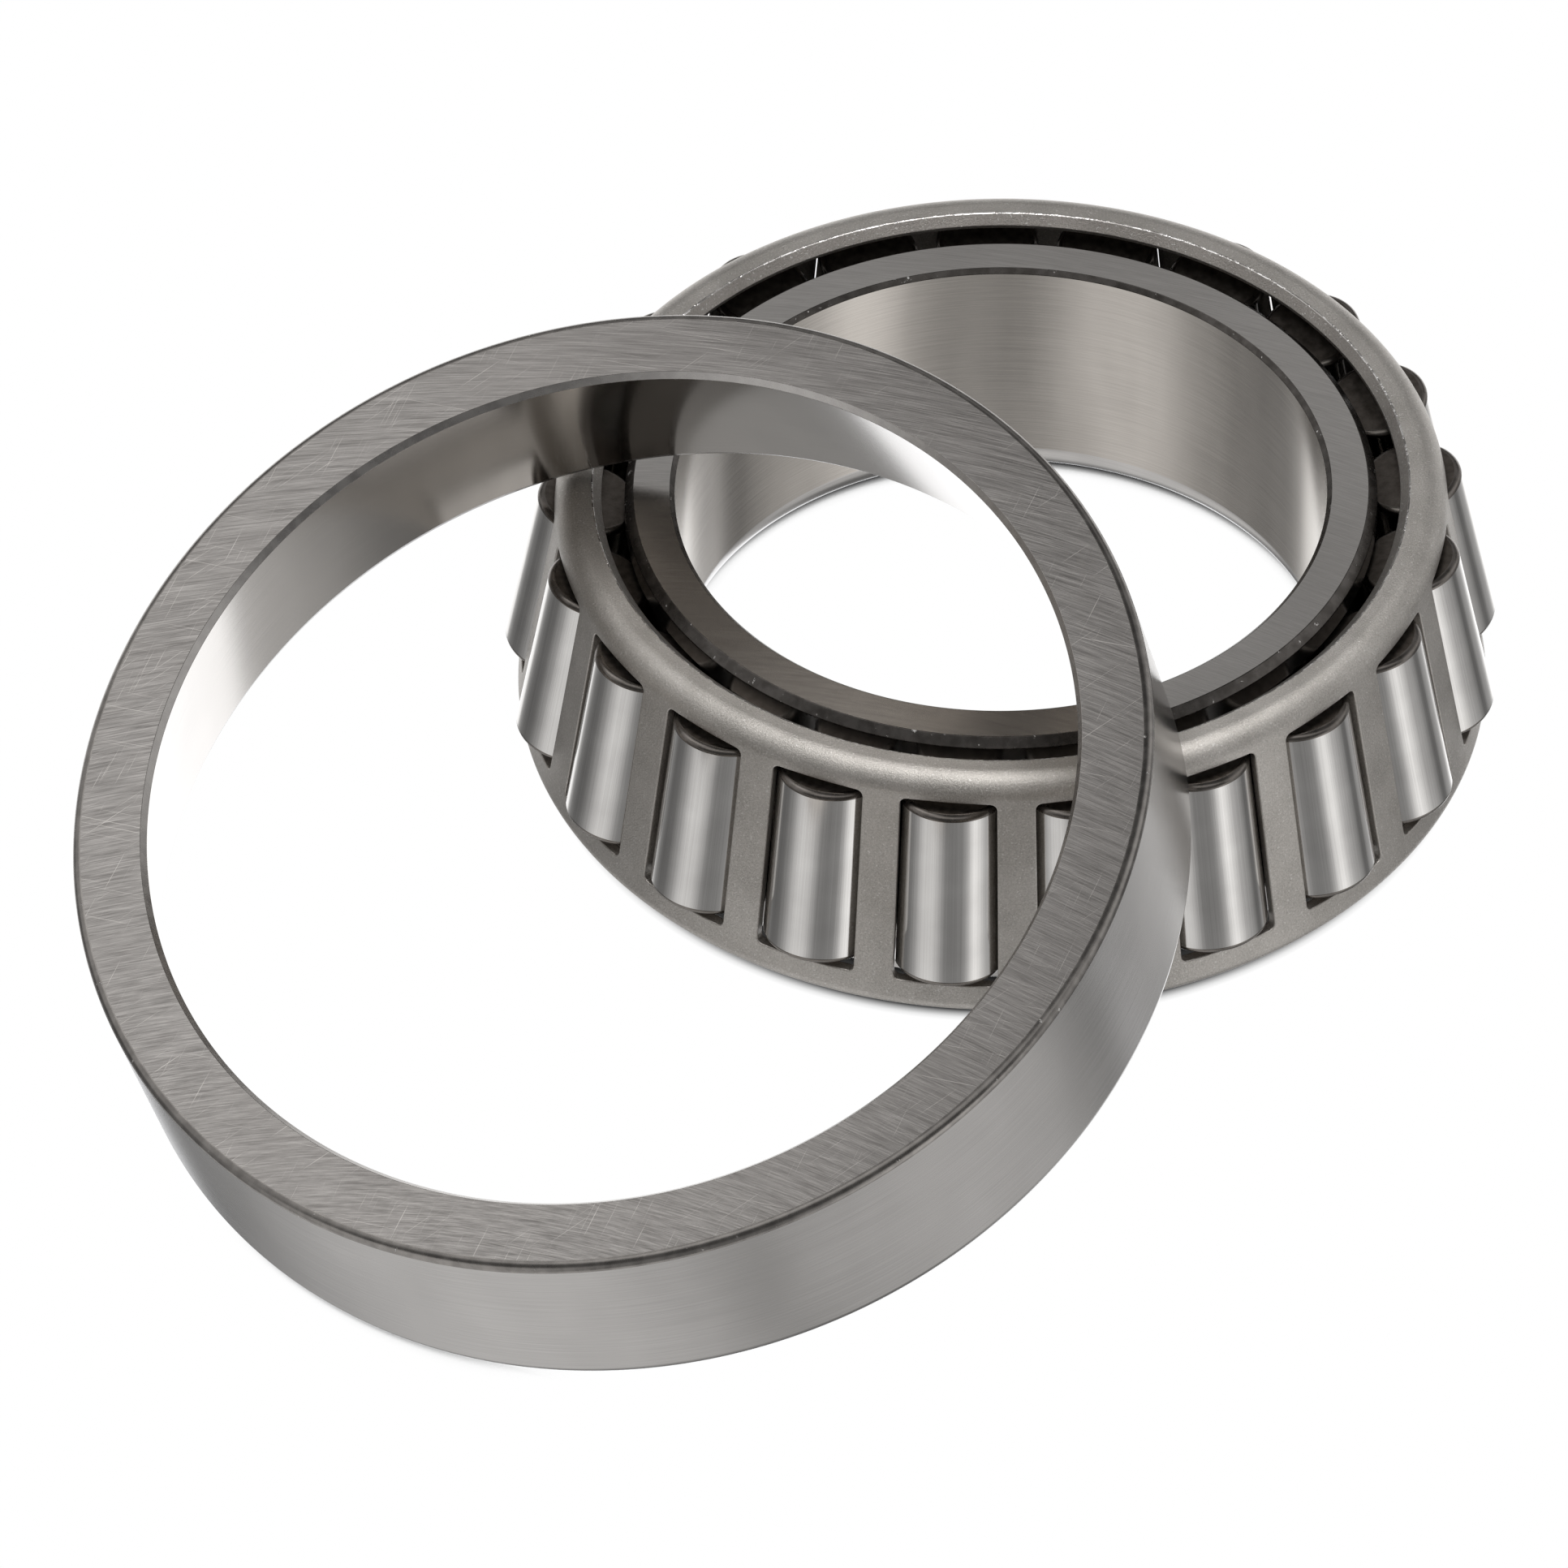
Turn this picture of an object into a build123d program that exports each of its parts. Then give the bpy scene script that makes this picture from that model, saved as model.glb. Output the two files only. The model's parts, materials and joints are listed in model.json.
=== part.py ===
from build123d import *
import math
import os

# Tapered roller bearing, 50 x 82 x 21.5 mm. Millimetres, +Z up.
# The inner ring stands on its back face at z = 0 with its axis on Z. The
# loose outer ring leans on the cage, one edge on the ground.

# ---- driving dimensions -------------------------------------------------
bore_diameter = 50.0
outer_diameter = 82.0
bearing_width = 21.5
outer_ring_width = 17.0
raceway_angle = 11.67           # half angle of the outer raceway
outer_raceway_radius = 35.2     # outer raceway at the height of the front face
roller_count = 21
roller_mid_radius = 4.12
roller_length = 15.2
roller_back_height = 4.25       # height of the centre of a roller's large end
first_roller_angle = -96.8      # direction of roller_01 seen from above

contact_gap = 0.05              # between the rollers and the inner ring
roller_edge_radius = 0.5

back_rib_radius = 32.55
front_rib_radius = 28.85
bore_back_radius = 3.0
bore_front_chamfer = 0.35
rib_chamfer = 0.65
relief_depth = 0.25
relief_width = 1.0

cage_angle = 10.5               # half angle of the cage wall
cage_wall = 1.0
cage_radius_at_pocket = 37.26   # outside of the wall at pocket_foot_height
pocket_foot_height = 4.0
cage_bottom = 1.4
cage_top = 22.0
cage_shoulder_radius = 2.0
cage_lip_radius = 30.6
cage_lip_bevel = 0.7
cage_foot_radius = 35.0
pocket_half_width_back = 4.0
pocket_half_width_front = 3.65
pocket_play_back = 0.65
pocket_play_front = 0.45

outer_edge_front = 1.6          # rounding of the narrow face's outside edge
outer_edge_back = 0.7           # rounding of the wide face's outside edge
outer_lead_in_height = 0.7
outer_lead_in_width = 0.2
outer_bore_chamfer = 0.5

lean_angle = 19.08              # tilt of the outer ring's axis from vertical
lean_direction = -125.6         # where that axis tips to, seen from above
lean_offset = 44.55             # outer ring centre from the Z axis

# ---- worked out from them ------------------------------------------------
bore_radius = bore_diameter / 2
outer_radius = outer_diameter / 2
raceway_slope = math.tan(math.radians(raceway_angle))
apex_height = bearing_width + outer_raceway_radius / raceway_slope


def solve_roller_half_angle():
    """Half angle of the roller cone that shares the raceways' apex."""
    half = 0.0
    for step in range(20):
        axis = math.radians(raceway_angle) - half
        mid_height = roller_back_height + roller_length * math.cos(axis) / 2
        apex_distance = (apex_height - mid_height) / math.cos(axis)
        half = math.atan(roller_mid_radius / apex_distance)
    return half


roller_half_angle = solve_roller_half_angle()
axis_angle = math.radians(raceway_angle) - roller_half_angle
inner_slope = math.tan(axis_angle - roller_half_angle)
apex_to_back_end = (apex_height - roller_back_height) / math.cos(axis_angle)
apex_to_front_end = apex_to_back_end - roller_length
roller_back_radius = apex_to_back_end * math.tan(roller_half_angle)
roller_front_radius = apex_to_front_end * math.tan(roller_half_angle)
back_end_centre = apex_to_back_end * math.sin(axis_angle)
front_end_centre = apex_to_front_end * math.sin(axis_angle)
front_end_height = apex_height - apex_to_front_end * math.cos(axis_angle)


def inner_raceway(height):
    """Radius of the inner raceway at a height."""
    return (apex_height - height) * inner_slope - contact_gap


def back_rib_face(radius):
    """Height of the large rib's guiding face at a radius."""
    return roller_back_height - contact_gap + (radius - back_end_centre) * math.tan(axis_angle)


def front_rib_face(radius):
    """Height of the small rib's face at a radius."""
    return front_end_height + 0.3 + (radius - front_end_centre) * math.tan(axis_angle)


def cage_outside(height):
    """Outside radius of the cage wall at a height."""
    fall = math.tan(math.radians(cage_angle))
    return cage_radius_at_pocket - (height - pocket_foot_height) * fall


def raceway_meets(rib_face):
    """Radius where the inner raceway meets a rib's face."""
    radius = front_rib_radius
    for step in range(20):
        radius = inner_raceway(rib_face(radius))
    return radius


def corner(profile, radius, height):
    """The corner of a profile nearest to a radius and a height."""
    return profile.vertices().sort_by_distance(Vector(radius, height))[0]


def turned(profile):
    """Turn a profile drawn as (radius, height) about the Z axis."""
    return revolve(Plane.XZ * profile, Axis.Z)


def make_inner_ring():
    back_root = raceway_meets(back_rib_face)
    race_low = back_rib_face(back_root) + relief_width
    front_root = raceway_meets(front_rib_face)
    race_high = front_rib_face(front_root) - relief_width
    points = [
        (bore_radius, 0),
        (bore_radius, bearing_width),
        (front_rib_radius, bearing_width),
        (front_rib_radius, front_rib_face(front_rib_radius)),
        (front_root - relief_depth, front_rib_face(front_root - relief_depth)),
        (front_root - relief_depth, race_high + relief_depth),
        (inner_raceway(race_high), race_high),
        (inner_raceway(race_low), race_low),
        (back_root - relief_depth, race_low - relief_depth),
        (back_root - relief_depth, back_rib_face(back_root - relief_depth)),
        (back_rib_radius, back_rib_face(back_rib_radius)),
        (back_rib_radius, 0),
    ]
    profile = make_face(Polyline(points, close=True))
    profile = fillet(corner(profile, bore_radius, 0), bore_back_radius)
    profile = chamfer(corner(profile, bore_radius, bearing_width), bore_front_chamfer)
    profile = chamfer(corner(profile, front_rib_radius, bearing_width), rib_chamfer)
    profile = chamfer(corner(profile, back_rib_radius, 0), rib_chamfer)
    top_edge = corner(profile, back_rib_radius, back_rib_face(back_rib_radius))
    profile = fillet(top_edge, 0.4)
    return turned(profile)


def make_roller():
    """One roller with its large end on the XY plane."""
    points = [
        (0, 0),
        (roller_back_radius, 0),
        (roller_front_radius, roller_length),
        (0, roller_length),
    ]
    profile = make_face(Polyline(points, close=True))
    profile = fillet(corner(profile, roller_back_radius, 0), roller_edge_radius)
    profile = fillet(corner(profile, roller_front_radius, roller_length), roller_edge_radius)
    return turned(profile)


def roller_angle(index):
    return first_roller_angle + index * 360 / roller_count


def roller_place(index):
    """Where a roller's large end sits, its axis pointing at the apex."""
    tilt = Rot(Y=-math.degrees(axis_angle)) * Pos(0, 0, -apex_to_back_end)
    return Rot(Z=roller_angle(index)) * Pos(0, 0, apex_height) * tilt


def make_pocket_cutter():
    """A tapered window, drawn on the roller's own axis."""
    bottom = -pocket_play_back
    top = roller_length + pocket_play_front
    outline = [
        (-pocket_half_width_back, bottom),
        (pocket_half_width_back, bottom),
        (pocket_half_width_front, top),
        (-pocket_half_width_front, top),
    ]
    window = make_face(Polyline(outline, close=True))
    window = fillet(window.vertices(), 0.5)
    return Pos(1.0, 0, 0) * extrude(Plane.YZ * window, 8)


def make_cage():
    foot = cage_bottom + cage_wall
    ceiling = cage_top - cage_wall
    points = [
        (cage_outside(cage_bottom), cage_bottom),
        (cage_outside(cage_top), cage_top),
        (cage_lip_radius + cage_lip_bevel, cage_top),
        (cage_lip_radius, cage_top - cage_lip_bevel),
        (cage_lip_radius, ceiling),
        (cage_outside(ceiling) - cage_wall, ceiling),
        (cage_outside(foot) - cage_wall, foot),
        (cage_foot_radius, foot),
        (cage_foot_radius, cage_bottom),
    ]
    profile = make_face(Polyline(points, close=True))
    profile = fillet(corner(profile, cage_outside(cage_top), cage_top), cage_shoulder_radius)
    profile = fillet(corner(profile, cage_outside(cage_bottom), cage_bottom), 1.0)
    profile = fillet(
        corner(profile, cage_outside(ceiling) - cage_wall, ceiling), cage_shoulder_radius - cage_wall
    )
    profile = fillet(corner(profile, cage_outside(foot) - cage_wall, foot), 0.3)
    cage = turned(profile)
    cutter = make_pocket_cutter()
    pockets = [roller_place(index) * cutter for index in range(roller_count)]
    return cage - pockets


def make_outer_ring():
    """The outer ring with its narrow face on the XY plane."""
    narrow = outer_raceway_radius + outer_ring_width * raceway_slope
    points = [
        (narrow + outer_lead_in_width, 0),
        (outer_radius, 0),
        (outer_radius, outer_ring_width),
        (outer_raceway_radius, outer_ring_width),
        (narrow - outer_lead_in_height * raceway_slope, outer_lead_in_height),
    ]
    profile = make_face(Polyline(points, close=True))
    profile = fillet(corner(profile, outer_radius, 0), outer_edge_front)
    profile = fillet(corner(profile, outer_radius, outer_ring_width), outer_edge_back)
    profile = chamfer(corner(profile, outer_raceway_radius, outer_ring_width), outer_bore_chamfer)
    return turned(profile)


def outer_ring_place():
    """Lean the outer ring so its low edge touches the ground."""
    tilt = math.radians(lean_angle)
    reach = outer_radius - outer_edge_front
    height = reach * math.sin(tilt) - outer_edge_front * math.cos(tilt) + outer_edge_front
    turn = Rot(Z=lean_direction)
    return turn * Pos(lean_offset, 0, height) * Rot(Y=lean_angle) * Rot(Z=-lean_direction)


os.makedirs("parts", exist_ok=True)
export_step(make_inner_ring(), "parts/inner_ring.step")
export_step(make_cage(), "parts/cage.step")
roller = make_roller()
for index in range(roller_count):
    name = "roller_%02d" % (index + 1)
    export_step(roller_place(index) * roller, "parts/" + name + ".step")
export_step(outer_ring_place() * make_outer_ring(), "parts/outer_ring.step")
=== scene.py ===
import json
import math

import bpy
from mathutils import Matrix, Vector

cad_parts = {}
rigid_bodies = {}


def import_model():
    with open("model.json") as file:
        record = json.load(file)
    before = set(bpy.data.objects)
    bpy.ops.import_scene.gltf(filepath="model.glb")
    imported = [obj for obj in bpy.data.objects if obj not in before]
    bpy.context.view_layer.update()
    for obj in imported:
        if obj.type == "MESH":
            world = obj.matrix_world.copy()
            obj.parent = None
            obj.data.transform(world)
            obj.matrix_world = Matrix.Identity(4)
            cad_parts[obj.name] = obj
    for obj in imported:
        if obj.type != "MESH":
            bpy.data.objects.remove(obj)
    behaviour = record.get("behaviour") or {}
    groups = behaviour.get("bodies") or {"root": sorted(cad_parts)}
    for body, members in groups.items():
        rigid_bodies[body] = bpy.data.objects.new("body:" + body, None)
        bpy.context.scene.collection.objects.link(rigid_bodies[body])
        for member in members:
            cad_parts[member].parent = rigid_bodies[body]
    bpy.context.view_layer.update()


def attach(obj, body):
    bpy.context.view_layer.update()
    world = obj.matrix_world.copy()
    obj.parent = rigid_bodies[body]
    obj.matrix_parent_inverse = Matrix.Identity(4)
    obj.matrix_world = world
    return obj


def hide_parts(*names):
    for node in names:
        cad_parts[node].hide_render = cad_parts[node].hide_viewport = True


# Tapered roller bearing: the inner ring with its cage and rollers stands flat,
# and the loose outer ring leans on the cage. The profiles below are the CAD's
# own, in millimetres, with small roundings on their edges.

MM = 0.001

# ---- dimensions, the same as the CAD's ------------------------------------
BORE_RADIUS = 25.0
OUTER_RADIUS = 41.0
BEARING_WIDTH = 21.5
OUTER_RING_WIDTH = 17.0
RACEWAY_ANGLE = math.radians(11.67)
RACEWAY_RADIUS = 35.2
ROLLER_COUNT = 21
ROLLER_MID_RADIUS = 4.12
ROLLER_LENGTH = 15.2
ROLLER_BACK_HEIGHT = 4.25
FIRST_ROLLER = math.radians(-96.8)
CONTACT_GAP = 0.05
ROLLER_EDGE = 0.5
BACK_RIB_RADIUS = 32.55
FRONT_RIB_RADIUS = 28.85
FRONT_RIB_CLEARANCE = 0.3
RIB_CHAMFER = 0.65
RIB_EDGE = 0.4                      # rounding of the large rib's top edge
RELIEF_DEPTH = 0.25
RELIEF_WIDTH = 1.0
BORE_CHAMFER = 0.35
BORE_CORNER = 3.0
OUTER_EDGE_FRONT = 1.6              # rounding of the narrow face's outside edge
OUTER_EDGE_BACK = 0.7               # rounding of the wide face's outside edge
OUTER_CHAMFER = 0.5
LEAD_IN_WIDTH = 0.2
LEAD_IN_HEIGHT = 0.7
CAGE_FALL = math.tan(math.radians(10.5))
CAGE_RADIUS_AT_POCKET = 37.26       # outside of the wall at POCKET_FOOT_HEIGHT
POCKET_FOOT_HEIGHT = 4.0
CAGE_WALL = 1.0
CAGE_BOTTOM = 1.4
CAGE_TOP = 22.0
CAGE_SHOULDER = 2.0
CAGE_LIP_RADIUS = 30.6
CAGE_BEVEL = 0.7
CAGE_FOOT_RADIUS = 35.0
CAGE_FOOT_EDGE = 1.0
POCKET_BACK = 4.0                   # half width of a window at its wide end
POCKET_FRONT = 3.65                 # and at its narrow end
POCKET_PLAY_BACK = 0.65
POCKET_PLAY_FRONT = 0.45
POCKET_CORNER = 0.5
LEAN_ANGLE = math.radians(19.08)
LEAN_DIRECTION = math.radians(-125.6)
LEAN_OFFSET = 44.55

# ---- edges and mesh density, only seen here ---------------------------------
SHARP = 0.08                        # rounding of a corner that is sharp in the CAD
ROUND_FROM = 1.0                    # a rounding from here up is a surface, not an edge
HUB = 0.2                           # radius of the flat in the middle of a roller's end
WINDOW_EDGE = 0.13                  # rounding of a window's edges
WINDOW_ANGLE = 0.106                # angle from a window's middle to its side columns
WINDOW_LOW = 3.7
WINDOW_HIGH = 19.6
BELOW_WINDOW = 3.2
ABOVE_WINDOW = 19.9
WALL_LOW = 2.75                     # the wall of windows, between the foot and the lip
WALL_HIGH = 20.34
WALL_HIGH_INSIDE = 20.14
END_STEPS = 10                      # steps along a window's end, its side and its corner
SIDE_STEPS = 8
CORNER_STEPS = 4
ARC_STEPS = 5                       # steps round a profile's edge

# ---- worked out from them --------------------------------------------------
RACEWAY_SLOPE = math.tan(RACEWAY_ANGLE)
APEX = BEARING_WIDTH + RACEWAY_RADIUS / RACEWAY_SLOPE
PITCH = 2 * math.pi / ROLLER_COUNT


def roller_axis_angle():
    """Lean of a roller's axis when its cone shares the raceways' apex."""
    half = 0.0
    for step in range(20):
        axis = RACEWAY_ANGLE - half
        middle = ROLLER_BACK_HEIGHT + ROLLER_LENGTH * math.cos(axis) / 2
        half = math.atan(ROLLER_MID_RADIUS * math.cos(axis) / (APEX - middle))
    return RACEWAY_ANGLE - half


AXIS = roller_axis_angle()
HALF = RACEWAY_ANGLE - AXIS

# a roller's two ends: distance from the apex, radius, and the centre's place
BACK_REACH = (APEX - ROLLER_BACK_HEIGHT) / math.cos(AXIS)
FRONT_REACH = BACK_REACH - ROLLER_LENGTH
ROLLER_BACK_RADIUS = BACK_REACH * math.tan(HALF)
ROLLER_FRONT_RADIUS = FRONT_REACH * math.tan(HALF)
BACK_CENTRE = BACK_REACH * math.sin(AXIS)
FRONT_CENTRE = FRONT_REACH * math.sin(AXIS)
FRONT_HEIGHT = APEX - FRONT_REACH * math.cos(AXIS)


# ---- meshes ----------------------------------------------------------------
class Shape:
    """Points with their own normals, and faces with a zone, ready to become a mesh."""

    def __init__(self):
        self.points = []
        self.normals = []
        self.index = {}
        self.faces = []
        self.zones = []

    def add(self, point, normal):
        """The number of a point, which is added if it isn't there yet."""
        key = tuple(round(c * 1e4) for c in point)
        if key not in self.index:
            self.index[key] = len(self.points)
            self.points.append([c * MM for c in point])
            self.normals.append(normal)
        return self.index[key]

    def face(self, corners, zone):
        """Add a face, without the corners that fall together."""
        loop = [c for i, c in enumerate(corners) if c != corners[i - 1]]
        if len(loop) > 2:
            self.faces.append(loop)
            self.zones.append(zone)

    def mesh(self, name, zone_materials, place):
        """The mesh in its place. It keeps each point's own coordinates and the direction
        round the shape's axis, which its materials read."""
        names = list(zone_materials)
        turn = place.to_3x3()
        mesh = bpy.data.meshes.new(name)
        mesh.from_pydata([place @ Vector(p) for p in self.points], [], self.faces)
        for zone in names:
            mesh.materials.append(zone_materials[zone])
        mesh.polygons.foreach_set("material_index", [names.index(z) for z in self.zones])
        mesh.polygons.foreach_set("use_smooth", [True] * len(self.faces))
        own = mesh.attributes.new("own", "FLOAT_VECTOR", "POINT")
        own.data.foreach_set("vector", [c for p in self.points for c in p])
        around = mesh.attributes.new("around", "FLOAT_VECTOR", "POINT")
        sides = [turn @ Vector((-p[1], p[0], 0)).normalized() for p in self.points]
        around.data.foreach_set("vector", [c for side in sides for c in side])
        normals = [turn @ Vector(n).normalized() for n in self.normals]
        mesh.normals_split_custom_set_from_vertices(normals)
        mesh.update()
        return mesh


def on_circle(radius, height, angle):
    """A point at a radius, a height and an angle about Z."""
    return (radius * math.cos(angle), radius * math.sin(angle), height)


def rounded(corners, closed=True):
    """Round a profile's corners. A corner is (radius, height, rounding, zone of the side after
    it); the result is a list of (radius, height, normal, zone). An open profile's first and
    last corners only end it."""
    count = len(corners)
    profile = []
    for i, (r, z, rounding, zone) in enumerate(corners):
        if not closed and i in (0, count - 1):
            j = min(i, count - 2)
            side = Vector((corners[j + 1][0] - corners[j][0], corners[j + 1][1] - corners[j][1]))
            side.normalize()
            profile.append((r, z, (side.y, -side.x), zone))
            continue
        here = Vector((r, z))
        before = here - Vector(corners[i - 1][:2])
        after = Vector(corners[(i + 1) % count][:2]) - here
        before.normalize()
        after.normalize()
        turn = before.angle_signed(after) * -1
        reach = rounding * abs(math.tan(turn / 2))
        start = here - before * reach
        side = 1 if turn > 0 else -1
        centre = start + Vector((-before.y, before.x)) * rounding * side
        first = math.atan2(-before.x, before.y)
        small = rounding < ROUND_FROM
        arc_zone = "edge" if small else "round"
        arc_steps = ARC_STEPS if small else 3 * ARC_STEPS
        for k in range(arc_steps + 1):
            angle = first + turn * k / arc_steps
            normal = (math.cos(angle), math.sin(angle))
            x = centre.x + normal[0] * rounding * side
            y = centre.y + normal[1] * rounding * side
            profile.append((x, y, normal, zone if k == arc_steps else arc_zone))
    return profile


def turn_profile(shape, profile, angles, closed=True):
    """Turn a profile about Z through a list of angles that goes all the way round."""
    rings = []
    for r, z, normal, zone in profile:
        ring = []
        for a in angles:
            facing = (normal[0] * math.cos(a), normal[0] * math.sin(a), normal[1])
            ring.append(shape.add(on_circle(r, z, a), facing))
        rings.append(ring)
    count = len(rings)
    for k in range(count if closed else count - 1):
        low = rings[k]
        high = rings[(k + 1) % count]
        for j in range(len(angles)):
            n = (j + 1) % len(angles)
            shape.face([low[j], low[n], high[n], high[j]], profile[k][3])


def even_angles(count):
    """Angles that divide a full turn evenly."""
    return [2 * math.pi * j / count for j in range(count)]


def inner_raceway(height):
    """Radius of the inner raceway at a height."""
    return (APEX - height) * math.tan(AXIS - HALF) - CONTACT_GAP


def back_rib_face(radius):
    """Height of the large rib's guiding face at a radius."""
    return ROLLER_BACK_HEIGHT - CONTACT_GAP + (radius - BACK_CENTRE) * math.tan(AXIS)


def front_rib_face(radius):
    """Height of the small rib's face at a radius."""
    return FRONT_HEIGHT + FRONT_RIB_CLEARANCE + (radius - FRONT_CENTRE) * math.tan(AXIS)


def raceway_meets(rib_face):
    """Radius where the inner raceway meets a rib's face."""
    radius = FRONT_RIB_RADIUS
    for step in range(20):
        radius = inner_raceway(rib_face(radius))
    return radius


def cage_outside(height):
    """Outside radius of the cage's wall at a height."""
    return CAGE_RADIUS_AT_POCKET - (height - POCKET_FOOT_HEIGHT) * CAGE_FALL


def inner_ring_shape():
    """Two ribs and a raceway between undercuts. The bore's corner near the table takes the dark
    edge finish, as painted shade.
    """
    back_root = raceway_meets(back_rib_face)
    low = back_rib_face(back_root) + RELIEF_WIDTH
    front_root = raceway_meets(front_rib_face)
    high = front_rib_face(front_root) - RELIEF_WIDTH
    back_deep = back_root - RELIEF_DEPTH
    front_deep = front_root - RELIEF_DEPTH
    corners = [
        (BORE_RADIUS, 0, BORE_CORNER, "face"),
        (BACK_RIB_RADIUS - RIB_CHAMFER, 0, 0.1, "edge"),
        (BACK_RIB_RADIUS, RIB_CHAMFER, 0.1, "round"),
        (BACK_RIB_RADIUS, back_rib_face(BACK_RIB_RADIUS), RIB_EDGE, "race"),
        (back_deep, back_rib_face(back_deep), SHARP, "edge"),
        (back_deep, low - RELIEF_DEPTH, SHARP, "edge"),
        (inner_raceway(low), low, SHARP, "race"),
        (inner_raceway(high), high, SHARP, "edge"),
        (front_deep, high + RELIEF_DEPTH, SHARP, "edge"),
        (front_deep, front_rib_face(front_deep), SHARP, "race"),
        (FRONT_RIB_RADIUS, front_rib_face(FRONT_RIB_RADIUS), 0.15, "round"),
        (FRONT_RIB_RADIUS, BEARING_WIDTH - RIB_CHAMFER, 0.12, "edge"),
        (FRONT_RIB_RADIUS - RIB_CHAMFER, BEARING_WIDTH, 0.12, "face"),
        (BORE_RADIUS + BORE_CHAMFER, BEARING_WIDTH, SHARP, "edge"),
        (BORE_RADIUS, BEARING_WIDTH - BORE_CHAMFER, SHARP, "bore"),
    ]
    shape = Shape()
    profile = []
    for r, z, normal, zone in rounded(corners):
        # painted shade: the bore's corner near the table takes the dark edge finish
        painted_shade_foot = r < BORE_RADIUS + BORE_CORNER and z < BORE_CORNER / 2
        profile.append((r, z, normal, "edge" if painted_shade_foot else zone))
    turn_profile(shape, profile, even_angles(360))
    return shape


def outer_ring_shape():
    """The loose ring, with its narrow face on the XY plane."""
    narrow = RACEWAY_RADIUS + OUTER_RING_WIDTH * RACEWAY_SLOPE
    chamfer_foot = RACEWAY_RADIUS + OUTER_CHAMFER * RACEWAY_SLOPE
    corners = [
        (narrow + LEAD_IN_WIDTH, 0, SHARP, "face"),
        (OUTER_RADIUS, 0, OUTER_EDGE_FRONT, "round"),
        (OUTER_RADIUS, OUTER_RING_WIDTH, OUTER_EDGE_BACK, "face"),
        (RACEWAY_RADIUS + OUTER_CHAMFER, OUTER_RING_WIDTH, 0.05, "chamfer"),
        (chamfer_foot, OUTER_RING_WIDTH - OUTER_CHAMFER, 0.05, "race"),
        (narrow - LEAD_IN_HEIGHT * RACEWAY_SLOPE, LEAD_IN_HEIGHT, 0.1, "edge"),
    ]
    shape = Shape()
    turn_profile(shape, rounded(corners), even_angles(480))
    return shape


def roller_shape():
    """A roller with its large end on the XY plane, each end closed by a flat in its middle."""
    corners = [
        (HUB, 0, 0, "end"),
        (ROLLER_BACK_RADIUS, 0, ROLLER_EDGE, "side"),
        (ROLLER_FRONT_RADIUS, ROLLER_LENGTH, ROLLER_EDGE, "end"),
        (HUB, ROLLER_LENGTH, 0, "end"),
    ]
    shape = Shape()
    angles = even_angles(96)
    turn_profile(shape, rounded(corners, closed=False), angles, closed=False)
    for height, step in ((0, -1), (ROLLER_LENGTH, 1)):
        hub = [shape.add(on_circle(HUB, height, a), (0, 0, step)) for a in angles]
        shape.face(hub[::step], "end")
    return shape


def between(start, end, steps):
    """Points on a straight line, without its ends."""
    parts = [k / steps for k in range(1, steps)]
    return [tuple(a + (b - a) * t for a, b in zip(start, end)) for t in parts]


def pocket_outline(grow):
    """Points round a window, widened by grow: (across, along, outward normal)."""
    length = ROLLER_LENGTH + POCKET_PLAY_BACK + POCKET_PLAY_FRONT
    lean = math.atan2(POCKET_BACK - POCKET_FRONT, length)
    radius = POCKET_CORNER + grow
    back = -POCKET_PLAY_BACK + POCKET_CORNER
    back_side = POCKET_BACK - POCKET_CORNER * (1 + lean)
    front = ROLLER_LENGTH + POCKET_PLAY_FRONT - POCKET_CORNER
    front_side = POCKET_FRONT - POCKET_CORNER * (1 - lean)
    centres = [
        (back_side, back, -math.pi / 2),
        (front_side, front, 0.0),
        (-front_side, front, math.pi / 2),
        (-back_side, back, math.pi),
    ]
    points = []
    for i, (across, along, first) in enumerate(centres):
        for k in range(CORNER_STEPS + 1):
            angle = first + math.pi / 2 * k / CORNER_STEPS
            normal = (math.cos(angle), math.sin(angle))
            points.append((across + radius * normal[0], along + radius * normal[1], normal))
        after = centres[(i + 1) % 4]
        normal = (math.cos(after[2]), math.sin(after[2]))
        end = (after[0] + radius * normal[0], after[1] + radius * normal[1])
        steps = SIDE_STEPS if i in (0, 2) else END_STEPS
        points += [(x, y, normal) for x, y in between(points[-1][:2], end, steps)]
    return points


def on_cage(across, along, depth):
    """Angle and height where a window's point lies on the cage's wall, at a depth into it."""
    out = 0.0
    for step in range(8):
        height = ROLLER_BACK_HEIGHT + along * math.cos(AXIS) + out * math.sin(AXIS)
        reach = math.sqrt((cage_outside(height) - depth) ** 2 - across**2)
        out = (reach - BACK_CENTRE + along * math.sin(AXIS)) / math.cos(AXIS)
    return math.atan2(across, reach), height


def wall_normal(angle):
    """The cage wall's outward direction at an angle."""
    length = math.hypot(1, CAGE_FALL)
    return Vector((math.cos(angle), math.sin(angle), CAGE_FALL)) / length


def lip_zone(radius, height):
    """The zone of the cage's profile: the lip's bevel, the worn corner above it, or the wall."""
    corner = CAGE_LIP_RADIUS + CAGE_BEVEL
    corner_fall = 0.05      # how far the corner's rounding falls below the top
    corner_reach = 0.12     # and how far it reaches to each side
    bevel_foot = 0.03       # part of the rounding under the bevel that still belongs to it
    if height > CAGE_TOP - corner_fall and abs(radius - corner) < corner_reach:
        return "rim"
    if height > CAGE_TOP - CAGE_BEVEL - bevel_foot and radius < corner:
        return "bevel"
    return "wall"


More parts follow.
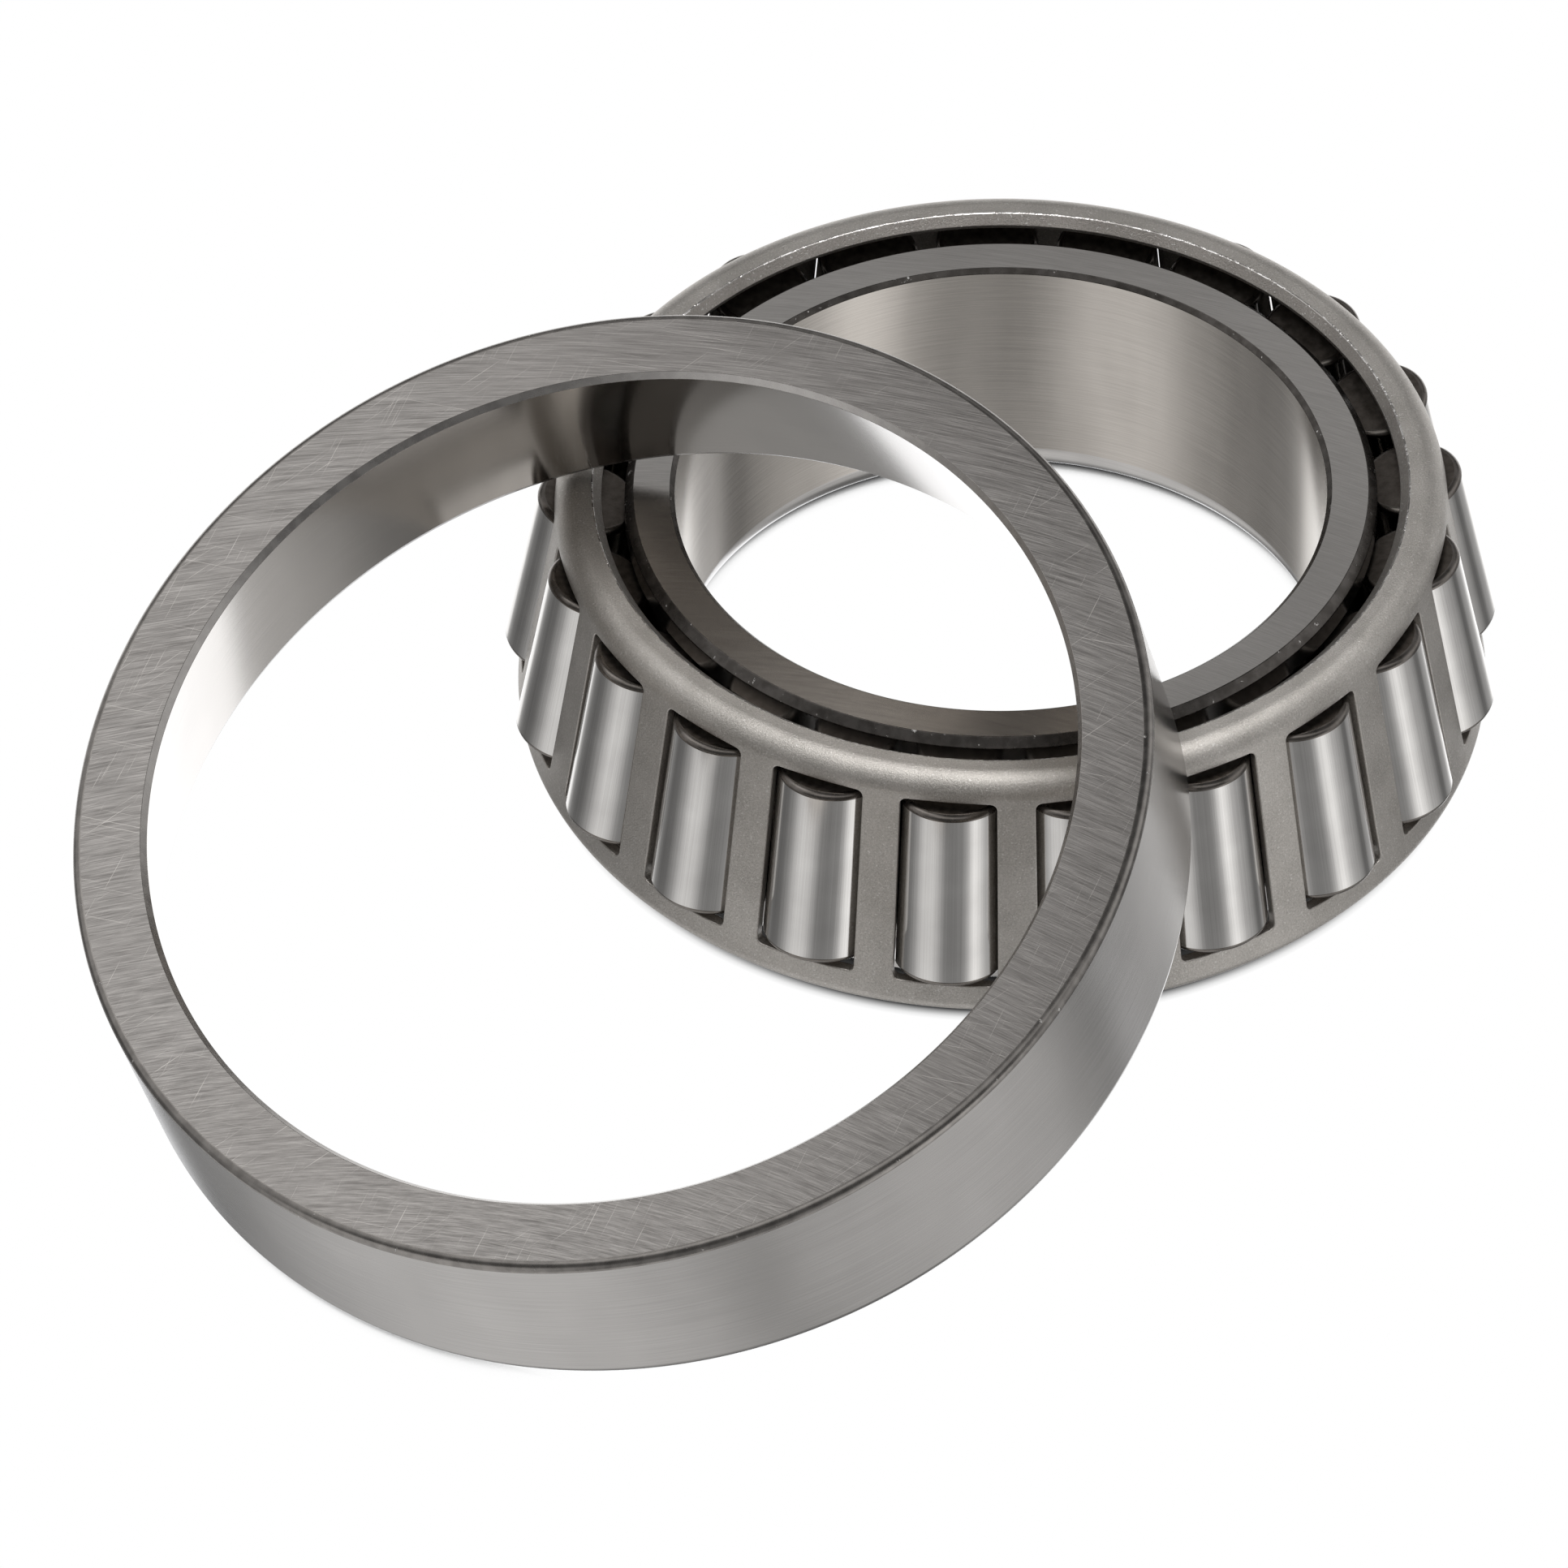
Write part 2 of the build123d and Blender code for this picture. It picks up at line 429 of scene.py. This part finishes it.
def add_lip_and_foot(shape, columns):
    """The turned ends of the cage, above and below the wall of windows."""
    ceiling = CAGE_TOP - CAGE_WALL
    lip = [
        (cage_outside(WALL_HIGH), WALL_HIGH, 0, "wall"),
        (cage_outside(CAGE_TOP), CAGE_TOP, CAGE_SHOULDER, "wall"),
        (CAGE_LIP_RADIUS + CAGE_BEVEL, CAGE_TOP, 0.2, "wall"),
        (CAGE_LIP_RADIUS, CAGE_TOP - CAGE_BEVEL, 0.12, "wall"),
        (CAGE_LIP_RADIUS, ceiling, 0.1, "wall"),
        (cage_outside(ceiling) - CAGE_WALL, ceiling, CAGE_SHOULDER - CAGE_WALL, "wall"),
        (cage_outside(WALL_HIGH_INSIDE) - CAGE_WALL, WALL_HIGH_INSIDE, 0, "wall"),
    ]
    foot_top = CAGE_BOTTOM + CAGE_WALL
    foot = [
        (cage_outside(WALL_LOW) - CAGE_WALL, WALL_LOW, 0, "wall"),
        (cage_outside(foot_top) - CAGE_WALL, foot_top, 0.25, "wall"),
        (CAGE_FOOT_RADIUS, foot_top, 0.15, "wall"),
        (CAGE_FOOT_RADIUS, CAGE_BOTTOM, 0.15, "wall"),
        (cage_outside(CAGE_BOTTOM), CAGE_BOTTOM, CAGE_FOOT_EDGE, "wall"),
        (cage_outside(WALL_LOW), WALL_LOW, 0, "wall"),
    ]
    for corners in (lip, foot):
        profile = [(r, z, n, lip_zone(r, z)) for r, z, n, zone in rounded(corners, closed=False)]
        turn_profile(shape, profile, columns, closed=False)


def window_frame(across):
    """Angles and heights round one pitch of the wall, one for each point of the outline. A
    corner's arc has five points, and its middle one faces the frame's corner."""
    along = [WALL_LOW, BELOW_WINDOW]
    step = (WINDOW_HIGH - WINDOW_LOW) / SIDE_STEPS
    along += [WINDOW_LOW + step * k for k in range(SIDE_STEPS + 1)]
    along += [ABOVE_WINDOW, WALL_HIGH]
    right = [(PITCH / 2, z) for z in along[:-1]]
    top = [(a, WALL_HIGH) for a in reversed([*across[1:], PITCH / 2])]
    left = [(-PITCH / 2, z) for z in reversed(along[1:])]
    bottom = [(a, WALL_LOW) for a in across]
    border = right + top + left + bottom
    half_arc = CORNER_STEPS // 2
    return border[-half_arc:] + border[:-half_arc]


def window_sections():
    """The rounded edges and the cut between them: (grow, depth, swing of the normal, zone of
    the strip that starts there)."""
    swings = [math.pi / 2 * k / CORNER_STEPS for k in range(CORNER_STEPS + 1)]
    outer = [
        (WINDOW_EDGE * (1 - math.sin(a)), WINDOW_EDGE * (1 - math.cos(a)), a, "wall")
        for a in swings
    ]
    inner = [
        (
            WINDOW_EDGE * (1 - math.cos(a)),
            CAGE_WALL - WINDOW_EDGE * (1 - math.sin(a)),
            math.pi / 2 + a,
            "cut",
        )
        for a in swings
    ]
    return outer + inner


def frame_ring(shape, centre, border, depth, highest, turn):
    """Points round the frame, on the wall's outside (turn 1) or its inside (turn -1)."""
    ring = []
    for a, z in border:
        z = min(z, highest)
        normal = wall_normal(centre + a) * turn
        ring.append(shape.add(on_circle(cage_outside(z) - depth, z, centre + a), normal))
    return ring


def add_window(shape, centre, border):
    """One window: from the outer frame over its edges and its cut to the inner frame."""
    ahead = Vector(
        (-math.sin(AXIS) * math.cos(centre), -math.sin(AXIS) * math.sin(centre), math.cos(AXIS))
    )
    level = Vector((-math.sin(centre), math.cos(centre), 0))
    rings = [frame_ring(shape, centre, border, 0, WALL_HIGH, 1)]
    zones = ["wall"]
    for grow, depth, swing, zone in window_sections():
        ring = []
        for across, along, normal in pocket_outline(grow):
            a, z = on_cage(across, along, depth)
            a += centre
            side = level * -normal[0] - ahead * normal[1]
            facing = wall_normal(a) * math.cos(swing) + side * math.sin(swing)
            ring.append(shape.add(on_circle(cage_outside(z) - depth, z, a), facing))
        rings.append(ring)
        zones.append(zone)
    zones[-1] = "wall"      # the last strip runs over the wall's inside to the inner frame
    rings.append(frame_ring(shape, centre, border, CAGE_WALL, WALL_HIGH_INSIDE, -1))
    for near, far, zone in zip(rings, rings[1:], zones):
        for j in range(len(near)):
            n = (j + 1) % len(near)
            shape.face([near[j], near[n], far[n], far[j]], zone)


def cage_shape():
    """The turned lip and foot, joined by a wall of windows with rounded edges."""
    margin = (PITCH / 2 + WINDOW_ANGLE) / 2
    step = 2 * WINDOW_ANGLE / END_STEPS
    across = [-PITCH / 2, -margin]
    across += [-WINDOW_ANGLE + step * k for k in range(END_STEPS + 1)]
    across += [margin]
    centres = [FIRST_ROLLER + i * PITCH for i in range(ROLLER_COUNT)]
    shape = Shape()
    add_lip_and_foot(shape, [centre + a for centre in centres for a in across])
    border = window_frame(across)
    for centre in centres:
        add_window(shape, centre, border)
    return shape


# ---- materials --------------------------------------------------------------
class Nodes:
    """The nodes of a material or a world, added one after another."""

    def __init__(self, owner):
        owner.use_nodes = True
        self.owner = owner
        self.tree = owner.node_tree

    def add(self, kind, inputs=None, **settings):
        node = self.tree.nodes.new(kind)
        for key, value in settings.items():
            setattr(node, key, value)
        for key, value in (inputs or {}).items():
            if isinstance(value, bpy.types.NodeSocket):
                self.tree.links.new(value, node.inputs[key])
            else:
                node.inputs[key].default_value = value
        return node

    def own(self):
        """A point's coordinates on its own upright shape, in metres."""
        return self.add("ShaderNodeAttribute", attribute_name="own").outputs["Vector"]

    def tangent(self):
        """The direction round the shape's axis."""
        node = self.add("ShaderNodeAttribute", attribute_name="around")
        turned = self.add(
            "ShaderNodeVectorTransform",
            {"Vector": node.outputs["Vector"]},
            vector_type="VECTOR",
            convert_from="OBJECT",
            convert_to="WORLD",
        )
        return turned.outputs[0]

    def stretch(self, vector, scale):
        return self.add("ShaderNodeMapping", {"Vector": vector, "Scale": scale}).outputs[0]

    def length(self, vector):
        return self.add("ShaderNodeVectorMath", {0: vector}, operation="LENGTH").outputs["Value"]

    def place(self, scale, turn=0.0):
        """The point's own coordinates, turned about Z and stretched."""
        spin = self.add("ShaderNodeMapping", {"Vector": self.own(), "Rotation": (0, 0, turn)})
        return self.stretch(spin.outputs[0], scale)

    def cylindrical(self, scale):
        """Angle about its own axis, height, and distance from its origin, stretched."""
        own = self.own()
        split = self.add("ShaderNodeSeparateXYZ", {"Vector": own})
        angle = self.math("ARCTAN2", split.outputs["Y"], split.outputs["X"])
        length = self.length(own)
        parts = {"X": angle, "Y": split.outputs["Z"], "Z": length}
        return self.stretch(self.add("ShaderNodeCombineXYZ", parts).outputs[0], scale)

    def arcs(self, centre, scale):
        """Angle and distance of a point about a centre in its own coordinates, stretched."""
        ends = {0: self.own(), 1: centre}
        away = self.add("ShaderNodeVectorMath", ends, operation="SUBTRACT").outputs[0]
        split = self.add("ShaderNodeSeparateXYZ", {"Vector": away})
        angle = self.math("ARCTAN2", split.outputs["X"], split.outputs["Y"])
        joined = self.add("ShaderNodeCombineXYZ", {"X": angle, "Y": self.length(away)})
        return self.stretch(joined.outputs[0], scale)

    def evenly(self, scale):
        """The point's own coordinates, stretched the same in every direction."""
        return self.place((scale, scale, scale))

    def noise(self, vector, detail=3.0, roughness=0.5):
        inputs = {"Vector": vector, "Scale": 1.0, "Detail": detail, "Roughness": roughness}
        return self.add("ShaderNodeTexNoise", inputs).outputs["Fac"]

    def ramp(self, value, stops):
        """A colour or a grey for each position of a value."""
        node = self.add("ShaderNodeValToRGB", {"Fac": value})
        elements = node.color_ramp.elements
        elements.remove(elements[1])
        for i, (position, colour) in enumerate(stops):
            element = elements.new(position) if i else elements[0]
            element.position = position
            element.color = (*colour, 1) if isinstance(colour, tuple) else (colour,) * 3 + (1,)
        return node.outputs["Color"]

    def math(self, operation, a, b):
        return self.add("ShaderNodeMath", {0: a, 1: b}, operation=operation).outputs[0]

    def weigh(self, a, share, b):
        """A share of one value and the rest of another."""
        rest = self.math("MULTIPLY", b, 1 - share)
        return self.math("ADD", self.math("MULTIPLY", a, share), rest)

    def mix(self, factor, a, b, blend="MIX"):
        node = self.add("ShaderNodeMix", data_type="RGBA", blend_type=blend)
        for socket, value in ((0, factor), (6, a), (7, b)):
            if isinstance(value, bpy.types.NodeSocket):
                self.tree.links.new(value, node.inputs[socket])
            else:
                node.inputs[socket].default_value = value
        return node.outputs[2]

    def spread(self, value, low, high):
        """A value from 0 to 1, stretched from low to high."""
        node = self.add("ShaderNodeMapRange", {"Value": value, "To Min": low, "To Max": high})
        return node.outputs[0]

    def bump(self, height, distance, strength):
        inputs = {"Height": height, "Distance": distance, "Strength": strength}
        return self.add("ShaderNodeBump", inputs).outputs[0]

    def finish(self, colour, roughness, normal, tangent=None, **constants):
        """Link the metal's shader and set its constants; the result is the material."""
        shader = self.tree.nodes["Principled BSDF"]
        for socket, value in (
            ("Base Color", colour),
            ("Roughness", roughness),
            ("Normal", normal),
            ("Tangent", tangent),
        ):
            if value is not None:
                self.tree.links.new(value, shader.inputs[socket])
        for key, value in constants.items():
            shader.inputs[key.replace("_", " ").title()].default_value = value
        return self.owner


# Distances in materials are in metres, and a pattern's scale is in marks to a metre, or to a
# radian round the axis.
STROKE_CENTRE = (-0.030, -0.110, 0)     # the grinding strokes are arcs about this point
SCRATCHES = ((-0.55, 110), (0.35, 70), (-1.1, 140))     # (turn, scale along the scratch)
SCRATCH = (0.80, 0.76, 0.72, 1)
STAIN = (0.33, 0.31, 0.295, 1)
NICK = (0.86, 0.84, 0.82, 1)
SPECK = (0.88, 0.87, 0.85, 1)


def ground_face(name, low, high, scratched):
    """A ground flat face: fine strokes along wide arcs, crossing scratches and faint stains."""
    n = Nodes(bpy.data.materials.new(name))
    strokes = n.noise(n.arcs(STROKE_CENTRE, (34, 9500, 1)), 3.0, 0.7)
    bands = n.noise(n.arcs(STROKE_CENTRE, (16, 2600, 1)), 2.0)
    patches = n.noise(n.evenly(38), 2.0)
    tone = n.weigh(strokes, 0.7, bands)
    middle = tuple((a + b) / 2 for a, b in zip(low, high))
    steel = n.ramp(tone, [(0.36, low), (0.5, middle), (0.62, high)])
    for turn, length in SCRATCHES:
        crossing = n.noise(n.place((length, 9000, 1), turn), 2.0)
        scratches = n.ramp(crossing, [(0.67, 0.0), (0.74, scratched)])
        steel = n.mix(scratches, steel, SCRATCH)
    stained = n.math("MULTIPLY", n.ramp(patches, [(0.4, 0.0), (0.7, 1.0)]), 0.3)
    steel = n.mix(stained, steel, STAIN)
    rough = n.spread(n.weigh(patches, 0.5, bands), 0.16, 0.28)
    return n.finish(steel, rough, n.bump(tone, 0.000007, 0.6), metallic=1.0)


def ground_round(name, low, high, rough_low, rough_high):
    """A cylinder ground round its axis: faint lines that run round it."""
    n = Nodes(bpy.data.materials.new(name))
    lines = n.noise(n.cylindrical((3.0, 9000, 0)), 3.0, 0.7)
    clouds = n.noise(n.cylindrical((5.0, 60, 0)), 2.0)
    tone = n.weigh(lines, 0.55, clouds)
    steel = n.ramp(tone, [(0.3, low), (0.7, high)])
    rough = n.spread(tone, rough_low, rough_high)
    normal = n.bump(lines, 0.000004, 0.4)
    return n.finish(
        steel, rough, normal, n.tangent(), metallic=1.0, anisotropic=0.35, anisotropic_rotation=0.25
    )


def rounded_edge(name, low, high, nicked, amount):
    """A rounded edge with a fine grain and small bright nicks."""
    n = Nodes(bpy.data.materials.new(name))
    grain = n.noise(n.evenly(900), 2.0, 0.6)
    nicks = n.ramp(n.noise(n.evenly(1300), 3.0, 0.7), [(nicked, 0.0), (nicked + 0.06, 1.0)])
    steel = n.ramp(grain, [(0.35, low), (0.65, high)])
    steel = n.mix(n.math("MULTIPLY", nicks, amount), steel, NICK)
    rough = n.spread(grain, 0.2, 0.34)
    return n.finish(steel, rough, n.bump(nicks, 0.00003, 0.6), metallic=1.0)


def blasted(name, low, high):
    """Sheet steel with a fine blasted grain and small bright specks."""
    n = Nodes(bpy.data.materials.new(name))
    grain = n.noise(n.evenly(7500), 3.0, 0.75)
    clouds = n.noise(n.evenly(260), 3.0)
    specks = n.ramp(n.noise(n.evenly(5200), 1.0), [(0.66, 0.0), (0.72, 1.0)])
    tone = n.weigh(grain, 0.7, clouds)
    steel = n.ramp(tone, [(0.3, low), (0.7, high)])
    steel = n.mix(n.math("MULTIPLY", specks, 0.35), steel, SPECK)
    rough = n.spread(tone, 0.36, 0.5)
    return n.finish(steel, rough, n.bump(grain, 0.00005, 0.7), metallic=1.0)


def roller_side():
    """A roller's polished side, with faint streaks along it."""
    n = Nodes(bpy.data.materials.new("roller_side"))
    streaks = n.noise(n.cylindrical((34, 25, 0)), 3.0, 0.6)
    clouds = n.noise(n.evenly(300), 2.0)
    tone = n.weigh(streaks, 0.6, clouds)
    steel = n.ramp(tone, [(0.3, (0.52, 0.505, 0.49)), (0.7, (0.68, 0.665, 0.645))])
    rough = n.spread(tone, 0.08, 0.17)
    return n.finish(steel, rough, n.bump(streaks, 0.000006, 0.3), metallic=1.0)


def roller_end():
    """A roller's end, painted dark brown as painted shade for the shadow it lies in inside the
    cage's pocket.
    """
    n = Nodes(bpy.data.materials.new("roller_end"))
    grain = n.noise(n.evenly(1500), 3.0, 0.6)
    steel = n.ramp(grain, [(0.3, (0.11, 0.095, 0.082)), (0.7, (0.21, 0.185, 0.165))])
    return n.finish(steel, n.spread(grain, 0.3, 0.5), n.bump(grain, 0.00003, 0.4), metallic=1.0)


def ring_finishes():
    """The finishes of the inner ring's zones and of the outer ring's."""
    outside = ground_round("ground_outside", (0.44, 0.425, 0.41), (0.59, 0.57, 0.55), 0.16, 0.26)
    bore = ground_round("ground_bore", (0.41, 0.382, 0.35), (0.57, 0.533, 0.49), 0.15, 0.23)
    race = ground_round("honed_raceway", (0.52, 0.49, 0.455), (0.63, 0.595, 0.555), 0.13, 0.19)
    inner = {
        "face": ground_face("ground_cone_face", (0.48, 0.46, 0.44), (0.62, 0.595, 0.57), 0.1),
        # the dark edge finish, also used as painted shade at the foot of the bore's corner
        "edge": rounded_edge("nicked_edge_and_painted_shade", (0.08, 0.073, 0.067), (0.13, 0.12, 0.112), 0.66, 0.9),
        "round": outside,
        "race": race,
        "bore": bore,
    }
    outer = {
        "face": ground_face("ground_cup_face", (0.17, 0.16, 0.152), (0.41, 0.39, 0.373), 0.5),
        "edge": rounded_edge("worn_edge", (0.24, 0.225, 0.212), (0.33, 0.31, 0.292), 0.68, 0.6),
        "chamfer": rounded_edge("cup_chamfer", (0.42, 0.40, 0.385), (0.50, 0.48, 0.46), 0.74, 0.6),
        "round": outside,
        "race": race,
    }
    return inner, outer


def cage_finishes():
    """The finishes of the cage's zones."""
    return {
        "wall": blasted("cage_wall", (0.32, 0.30, 0.275), (0.62, 0.59, 0.555)),
        # painted shade: the bevel's finish is a darker copy of the wall's, for the shade on the
        # lip's inward bevel
        "bevel": blasted("cage_bevel", (0.20, 0.185, 0.17), (0.38, 0.355, 0.33)),
        "rim": rounded_edge("cage_rim", (0.30, 0.285, 0.27), (0.5, 0.48, 0.46), 0.5, 0.9),
        # painted shade: the windows' cut faces are near black, for the shadow round each window's
        # edge
        "cut": blasted("cage_cut", (0.06, 0.056, 0.051), (0.15, 0.14, 0.128)),
    }


def roller_finishes():
    """The finishes of a roller's zones."""
    # painted shade: the edge is dark like the end, to dim the highlight round the roller's top edge
    edge = rounded_edge("roller_edge", (0.16, 0.145, 0.13), (0.22, 0.2, 0.185), 0.8, 0.2)
    return {"side": roller_side(), "end": roller_end(), "edge": edge}


# ---- the object --------------------------------------------------------------
def outer_ring_place():
    """Lean the outer ring so its low edge touches the ground."""
    reach = OUTER_RADIUS - OUTER_EDGE_FRONT
    height = reach * math.sin(LEAN_ANGLE) + OUTER_EDGE_FRONT * (1 - math.cos(LEAN_ANGLE))
    place = Matrix.Rotation(LEAN_DIRECTION, 4, "Z")
    place @= Matrix.Translation((LEAN_OFFSET * MM, 0, height * MM))
    place @= Matrix.Rotation(LEAN_ANGLE, 4, "Y")
    return place @ Matrix.Rotation(-LEAN_DIRECTION, 4, "Z")


def roller_place(index):
    """Where a roller's large end sits, its axis pointing at the apex."""
    place = Matrix.Rotation(FIRST_ROLLER + index * PITCH, 4, "Z")
    place @= Matrix.Translation((0, 0, APEX * MM))
    place @= Matrix.Rotation(-AXIS, 4, "Y")
    return place @ Matrix.Translation((0, 0, -BACK_REACH * MM))


def piece(node, shape, zones, place=Matrix.Identity(4)):
    """A piece that stands for a CAD node and rides on that node's body."""
    name = node + "_finish"
    made = bpy.data.objects.new(name, shape.mesh(name, zones, place))
    bpy.context.scene.collection.objects.link(made)
    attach(made, node)
    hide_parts(node)


def build_object():
    inner, outer = ring_finishes()
    piece("inner_ring", inner_ring_shape(), inner)
    piece("cage", cage_shape(), cage_finishes())
    piece("outer_ring", outer_ring_shape(), outer, outer_ring_place())
    roller = roller_shape()
    finishes = roller_finishes()
    for index in range(ROLLER_COUNT):
        name = "roller_%02d" % (index + 1)
        piece(name, roller, finishes, roller_place(index))


# ---- the studio ---------------------------------------------------------------
def floor():
    """A white table that only the camera sees, with painted shadow where the bearing covers it: a
    contact shadow from ambient occlusion and a dark ring under the rollers.
    """
    half = 3.0
    mesh = bpy.data.meshes.new("floor")
    corners = [(-half, -half, 0), (half, -half, 0), (half, half, 0), (-half, half, 0)]
    mesh.from_pydata(corners, [], [(0, 1, 2, 3)])
    n = Nodes(bpy.data.materials.new("floor"))
    # painted contact shadow: the table's glow darkens where ambient occlusion finds the bearing
    # close
    cover = n.add("ShaderNodeAmbientOcclusion", {"Distance": 0.003}, samples=16)
    contact = n.ramp(cover.outputs["AO"], [(0.10, 0.02), (0.34, 1.0)])
    # in tenths of a metre from the Z axis: a painted shadow under the rollers, between bore and
    # cage
    reach = n.math("MULTIPLY", n.length(n.add("ShaderNodeTexCoord").outputs["Object"]), 10.0)
    under = n.ramp(reach, [(0.262, 1.0), (0.27, 0.03), (0.355, 0.03), (0.365, 1.0)])
    light = n.mix(1.0, contact, under, "MULTIPLY")
    glow = n.add("ShaderNodeEmission", {"Color": light, "Strength": 1.0})
    n.tree.links.new(glow.outputs[0], n.tree.nodes["Material Output"].inputs["Surface"])
    mesh.materials.append(n.owner)
    plane = bpy.data.objects.new("floor", mesh)
    bpy.context.scene.collection.objects.link(plane)
    plane.location.z = -0.0001
    plane.visible_glossy = False
    plane.visible_diffuse = False
    plane.visible_shadow = False


# Light round the room: (direction in degrees, brightness). 0 is behind the bearing, 90 to its
# right. A white backdrop stands behind it, and there are softer lights towards the viewer, at
# both sides.
ROOM = [
    (-180, 0.27), (-170, 0.30), (-163, 0.42), (-155, 0.66), (-147, 0.84), (-138, 0.9),
    (-128, 0.88), (-119, 0.74), (-110, 0.5), (-100, 0.33), (-87, 0.19), (-72, 0.17),
    (-58, 0.26), (-46, 0.5), (-38, 1.3), (30, 1.4), (38, 0.8), (46, 0.5), (60, 0.38),
    (68, 0.19), (76, 0.17), (85, 0.34), (97, 0.5), (108, 0.6), (120, 0.95), (131, 1.3),
    (141, 1.0), (149, 0.55), (158, 0.33), (168, 0.29), (180, 0.27),
]
# The table's shade along the diagonal from its far right to its near left.
TABLE = [
    (0.08, 0.52), (0.14, 0.48), (0.22, 0.36), (0.3, 0.21), (0.38, 0.16), (0.5, 0.26),
    (0.55, 0.3), (0.6, 0.42), (0.65, 0.48), (0.7, 0.65), (0.76, 0.82),
]
# Light from above, by the height of the ray: a band of lit ceiling, darker straight overhead.
CEILING = [(0.1, 0.12), (0.5, 0.16), (0.62, 0.42), (0.7, 0.42), (0.84, 0.1)]
BACKDROP = (1.5, 1.52, 1.56, 1)
DARK_FRONT = (0.13, 0.13, 0.13, 1)


def table_light(n, right, back):
    """What a steep falling ray sees: the table, lighter at the near right, and the backdrop
    past its far edge. The ray moves by right and back while it falls by one."""
    diagonal = n.math("SUBTRACT", 0.6, n.math("MULTIPLY", n.math("ADD", right, back), 0.5))
    near_right = n.ramp(n.math("SUBTRACT", right, back), [(0.3, 0.0), (0.55, 0.42), (0.8, 0.7)])
    table = n.mix(1.0, n.ramp(diagonal, TABLE), near_right, "LIGHTEN")
    behind = n.ramp(back, [(0.525, 0.0), (0.585, 1.0)])
    beside = n.ramp(n.math("ADD", right, 0.5), [(0.22, 0.0), (0.27, 1.0)])
    return n.mix(n.math("MULTIPLY", behind, beside), table, BACKDROP)


def ceiling_light(n, x, y, z):
    """What a rising ray sees: the ceiling, brighter at the right and at the near left, and
    dark at the front."""
    at_right = n.ramp(x, [(0.5, 0.0), (0.8, 0.75)])
    above = n.mix(1.0, n.ramp(z, CEILING), at_right, "LIGHTEN")
    left = n.math("SUBTRACT", n.math("MULTIPLY", x, -0.78), n.math("MULTIPLY", y, 0.62))
    at_left = n.ramp(left, [(0.08, 0.10), (0.15, 0.5), (0.3, 0.6)])
    above = n.mix(1.0, above, at_left, "LIGHTEN")
    front = n.ramp(n.math("ADD", y, 1.0), [(0.45, 1.0), (0.75, 0.0)])
    return n.mix(front, above, DARK_FRONT)


def world():
    """The room's light, which depends only on a ray's direction."""
    n = Nodes(bpy.data.worlds.new("room"))
    bpy.context.scene.world = n.owner
    direction = n.add("ShaderNodeTexCoord").outputs["Generated"]
    x, y, z = n.add("ShaderNodeSeparateXYZ", {"Vector": direction}).outputs
    turn = n.math("MULTIPLY", n.math("ARCTAN2", x, y), 0.5 / math.pi)
    stops = [(0.5 + angle / 360, light) for angle, light in ROOM]
    sides = n.ramp(n.math("ADD", turn, 0.5), stops)

    fall = n.math("MAXIMUM", n.math("MULTIPLY", z, -1.0), 0.001)
    right = n.math("DIVIDE", x, fall)
    back = n.math("DIVIDE", y, fall)
    squares = n.math("ADD", n.math("MULTIPLY", right, right), n.math("MULTIPLY", back, back))
    reach = n.math("SQRT", squares, 0.0)
    steep = n.ramp(n.math("MULTIPLY", reach, 0.5), [(0.5, 1.0), (0.53, 0.0)])
    low = n.mix(steep, sides, table_light(n, right, back))

    up = n.ramp(z, [(0.0, 0.0), (0.18, 1.0)])
    room = n.mix(up, low, ceiling_light(n, x, y, z))
    n.tree.links.new(room, n.tree.nodes["Background"].inputs["Color"])


def softbox(name, place, target, width, height, power, only=None):
    """A rectangular light aimed at a point. It can light one piece only."""
    light = bpy.data.lights.new(name, "AREA")
    light.shape = "RECTANGLE"
    light.size = width
    light.size_y = height
    light.energy = power
    lamp = bpy.data.objects.new(name, light)
    bpy.context.scene.collection.objects.link(lamp)
    lamp.location = place
    aim = Vector(target) - Vector(place)
    lamp.rotation_euler = aim.to_track_quat("-Z", "Y").to_euler()
    if only:
        lit = bpy.data.collections.new(name + "_lights")
        lit.objects.link(bpy.data.objects[only])
        lamp.light_linking.receiver_collection = lit


def lights():
    """A faint light in front and above, one for the cage alone, and a small one at the left."""
    softbox("softbox_above", (0.05, -0.35, 0.6), (0.05, -0.35, 0), 0.8, 0.36, 0.5)
    over_cage = (0.06, -0.12, 0.6)
    softbox("softbox_cage", over_cage, (0.06, -0.12, 0), 0.3, 0.66, 2.7, only="cage_finish")
    softbox("softbox_left", (-0.15, 0.03, 0.246), (-0.06, -0.05, 0.02), 0.14, 0.14, 0.05)


def camera():
    """Seen from in front and above, from about a metre away."""
    distance = 1.010
    elevation = math.radians(42.94)
    yaw = math.radians(-1.324)
    pitch = math.radians(-43.34)
    roll = math.radians(-1.206)
    ahead = Vector(
        (math.sin(yaw) * math.cos(pitch), math.cos(yaw) * math.cos(pitch), math.sin(pitch))
    )
    level = Vector((math.cos(yaw), -math.sin(yaw), 0))
    upright = level.cross(ahead)
    right = level * math.cos(roll) + upright * math.sin(roll)
    up = upright * math.cos(roll) - level * math.sin(roll)
    lens = bpy.data.cameras.new("camera")
    lens.sensor_width = 36
    lens.lens = 298.14
    lens.clip_start = 0.01
    lens.clip_end = 20
    seen_from = bpy.data.objects.new("camera", lens)
    bpy.context.scene.collection.objects.link(seen_from)
    turn = Matrix((right, up, -ahead)).transposed().to_4x4()
    position = (0, -distance * math.cos(elevation), distance * math.sin(elevation))
    seen_from.matrix_world = Matrix.Translation(position) @ turn
    bpy.context.scene.camera = seen_from


for leftover in list(bpy.data.objects):
    bpy.data.objects.remove(leftover)
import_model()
build_object()
floor()
world()
lights()
camera()
bpy.context.scene.view_settings.view_transform = "Standard"
